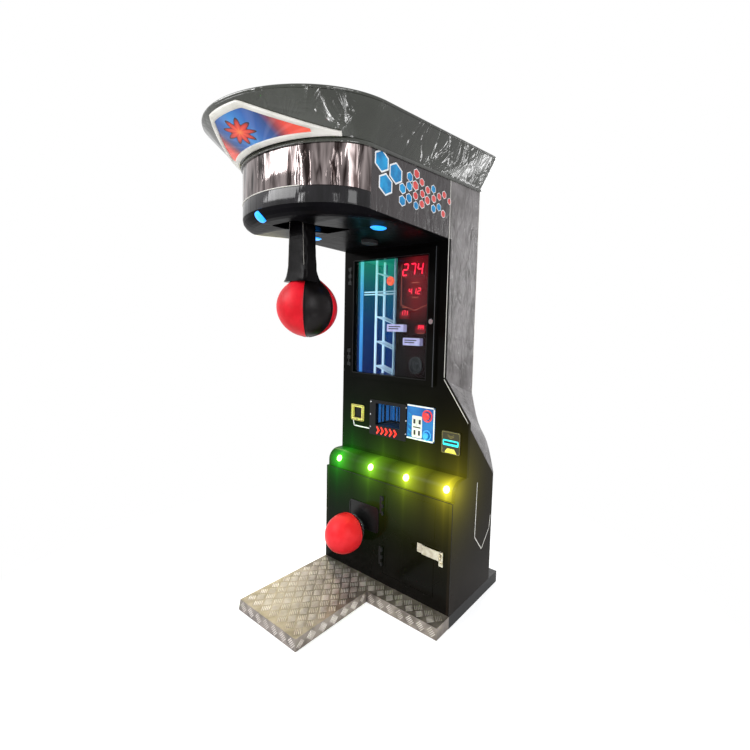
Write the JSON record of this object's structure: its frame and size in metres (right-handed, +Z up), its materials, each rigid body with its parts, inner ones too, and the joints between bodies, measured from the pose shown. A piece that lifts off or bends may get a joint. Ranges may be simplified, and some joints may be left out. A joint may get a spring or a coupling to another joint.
{
  "type": "boxing arcade machine",
  "caption": "Tall arcade cabinet with a flared hood, a swinging punch ball, a round kick pad, a glazed prize window, coin and note entries and a tread-plate platform",
  "frame": {"origin": "On the floor, at the centre of the overall box in X and Y.", "axes": "+Z is up. +X points to the right of a player who faces the machine. The front faces -Y."},
  "size_m": [0.9, 1.19, 2.2],
  "materials": {
    "plinth_black": "satin black paint",
    "tread_aluminium": "bright five-bar tread plate",
    "cabinet_gloss": "black gloss laminate on board",
    "cabinet_side": "printed dark gloss film on board",
    "nosing_black": "black gloss moulding",
    "lamp_green": "lit green lens",
    "pad_red": "red padded vinyl",
    "steel_satin": "satin steel",
    "steel_zinc": "yellow-zinc plated steel",
    "spring_steel": "zinc plated spring wire",
    "cover_black": "satin black paint",
    "column_side": "dark grey laminate on board",
    "shoulder_grey": "dark grey moulding",
    "rear_black": "black laminate on board",
    "door_black": "black gloss enamel",
    "glass_clear": "clear toughened glass",
    "case_blue": "dark blue enamel",
    "board_black": "black gloss display sheet",
    "digit_red": "dark red lens over digits",
    "speaker_black": "matt black cone and basket",
    "rack_clear": "clear blue-tinted acrylic",
    "tube_blue": "lit blue diffuser",
    "plate_blue": "blue printed gloss sheet",
    "frame_black": "black moulding",
    "flap_blue": "clear blue-tinted acrylic",
    "entry_white": "white moulding",
    "mech_grey": "grey pressed steel",
    "button_red": "red lens",
    "button_blue": "blue lens",
    "cup_yellow": "yellow moulding",
    "flap_black": "black moulding",
    "note_olive": "olive moulding",
    "band_mirror": "dark mirror acrylic",
    "hood_black": "black gloss moulding",
    "marquee_silver": "pale gloss trim",
    "marquee_print": "printed gloss sheet",
    "lamp_blue": "blue lens",
    "frame_steel": "dark grey enamel",
    "sleeve_black": "black padded vinyl",
    "ball_vinyl": "red and black padded vinyl",
    "stop_rubber": "black rubber",
    "coil_brass": "lacquered coil can"
  },
  "bodies": {
    "body": {"base_frame": "plinth_black", "tread_plate": "tread_aluminium", "lower_side_left": "cabinet_side", "lower_side_right": "cabinet_side", "lower_front": "cabinet_gloss", "lower_back": "rear_black", "nosing": "nosing_black", "led_lamps": "lamp_green", "kick_guide": "steel_satin", "kick_spring": "spring_steel", "cover_plate": "cover_black", "hasp_staple": "steel_zinc", "cash_box": "steel_satin", "shoulder_panel": "shoulder_grey", "fascia": "cabinet_gloss", "side_left": "column_side", "side_right": "column_side", "back_panel": "rear_black", "hinges": "steel_satin", "window_liner": "case_blue", "display_board": "board_black", "digit_modules": "digit_red", "speaker": "speaker_black", "prize_rack": "rack_clear", "light_tubes": "tube_blue", "button_plate": "plate_blue", "prize_frame": "frame_black", "coin_entry": "entry_white", "coin_mech": "mech_grey", "return_cup": "cup_yellow", "note_entry": "note_olive", "nose_band": "band_mirror", "head_floor": "cabinet_gloss", "hood_shell": "hood_black", "marquee_frame": "marquee_silver", "marquee_panel": "marquee_print", "downlights": "lamp_blue", "pivot_frame": "frame_steel", "pivot_shaft": "steel_satin", "stop_pad": "stop_rubber", "latch_solenoid": "coil_brass"},
    "kick_pad": {"kick_cushion": "pad_red", "kick_plunger": "steel_satin"},
    "service_door": {"service_door": "door_black", "hasp_leaf": "steel_zinc"},
    "hasp": {"hasp_strap": "steel_zinc"},
    "rear_door": {"rear_door": "rear_black"},
    "rear_cam": {"rear_lock": "steel_satin"},
    "window_door": {"window_door": "door_black", "window_glass": "glass_clear"},
    "window_key": {"window_lock": "steel_satin"},
    "prize_flap": {"prize_flap": "flap_blue"},
    "return_flap": {"return_flap": "flap_black"},
    "red_button": {"red_button": "button_red"},
    "blue_button": {"blue_button": "button_blue"},
    "ball": {"swing_arm": "frame_steel", "arm_sleeve": "sleeve_black", "bag": "ball_vinyl"},
    "hook": {"latch_hook": "steel_satin"},
    "plunger": {"solenoid_plunger": "steel_satin"}
  },
  "joints": [
    {"name": "kick_press", "type": "slide", "parent": "body", "child": "kick_pad", "axis": [0, 1, 0], "range_m": [0, 0.022], "stiffness_N_per_m": 6000, "springref_m": -0.01, "deforming": ["kick_spring"]},
    {"name": "service_swing", "type": "hinge", "parent": "body", "child": "service_door", "pos_m": [0.045, 0.14, 0.326], "axis": [0, 0, -1], "range_deg": [0, 110]},
    {"name": "hasp_turn", "type": "hinge", "parent": "service_door", "child": "hasp", "pos_m": [0.296, 0.141, 0.318], "axis": [0, 0, -1], "range_deg": [0, 100]},
    {"name": "rear_swing", "type": "hinge", "parent": "body", "child": "rear_door", "pos_m": [-0.242, 0.514, 1.13], "axis": [0, 0, 1], "range_deg": [0, 100]},
    {"name": "rear_cam_turn", "type": "hinge", "parent": "rear_door", "child": "rear_cam", "pos_m": [0.13, 0.508, 1.13], "axis": [0, 1, 0], "range_deg": [0, 90]},
    {"name": "window_swing", "type": "hinge", "parent": "body", "child": "window_door", "pos_m": [-0.314, 0.241, 1.3775], "axis": [0, 0, 1], "range_deg": [-45, 0]},
    {"name": "window_key_turn", "type": "hinge", "parent": "window_door", "child": "window_key", "pos_m": [0.231, 0.237, 1.358], "axis": [0, 1, 0], "range_deg": [0, 90]},
    {"name": "prize_flap_swing", "type": "hinge", "parent": "body", "child": "prize_flap", "pos_m": [-0.0385, 0.259, 0.924], "axis": [1, 0, 0], "range_deg": [0, 75]},
    {"name": "return_flap_swing", "type": "hinge", "parent": "body", "child": "return_flap", "pos_m": [-0.256, 0.257, 0.886], "axis": [1, 0, 0], "range_deg": [0, 60]},
    {"name": "red_press", "type": "slide", "parent": "body", "child": "red_button", "axis": [0, 1, 0], "range_m": [0, 0.003], "stiffness_N_per_m": 400, "springref_m": -0.002},
    {"name": "blue_press", "type": "slide", "parent": "body", "child": "blue_button", "axis": [0, 1, 0], "range_m": [0, 0.003], "stiffness_N_per_m": 400, "springref_m": -0.002},
    {"name": "ball_swing", "type": "hinge", "parent": "body", "child": "ball", "pos_m": [-0.0355, -0.252, 1.8], "axis": [1, 0, 0], "range_deg": [-20, 58]},
    {"name": "hook_turn", "type": "hinge", "parent": "body", "child": "hook", "pos_m": [-0.0355, -0.362, 1.822], "axis": [1, 0, 0], "range_deg": [-25, 0]},
    {"name": "plunger_pull", "type": "slide", "parent": "body", "child": "plunger", "axis": [0, 0, 1], "range_m": [0, 0.012]}
  ],
  "couplings": [
    {"joint": "plunger_pull", "follows": "hook_turn", "m_per_rad": -0.0275}
  ]
}
